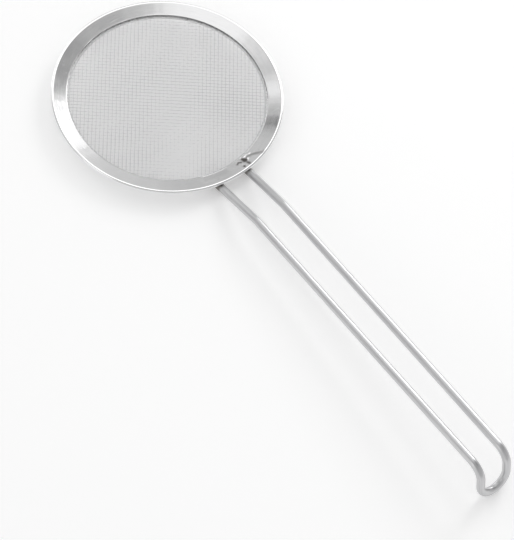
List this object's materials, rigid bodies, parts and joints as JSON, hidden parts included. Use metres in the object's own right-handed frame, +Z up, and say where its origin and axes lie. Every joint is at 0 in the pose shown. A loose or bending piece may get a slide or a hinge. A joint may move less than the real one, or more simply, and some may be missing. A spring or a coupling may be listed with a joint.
{
  "type": "mesh skimmer",
  "caption": "Flat round skimmer: fine woven mesh in a shallow folded steel rim, on a long handle of bent wire with a hook end.",
  "frame": {"origin": "on the surface that the skimmer stands on, under the middle of its box", "axes": "+X from the head to the hook, +Y across the handle, +Z up out of the dish of the head"},
  "size_m": [0.3276, 0.12, 0.0236],
  "materials": {
    "polished_rim": "polished stainless steel with fine circular brushing",
    "woven_mesh": "woven stainless wire, satin",
    "drawn_wire": "bright drawn stainless wire",
    "weld": "dull spot weld with a slight straw tint"
  },
  "bodies": {
    "root": {"rim_band": "polished_rim", "fine_mesh": "woven_mesh", "support_mesh": "woven_mesh", "handle_wire": "drawn_wire", "weld_left_inner": "weld", "weld_left_outer": "weld", "weld_right_inner": "weld", "weld_right_outer": "weld"}
  },
  "joints": []
}
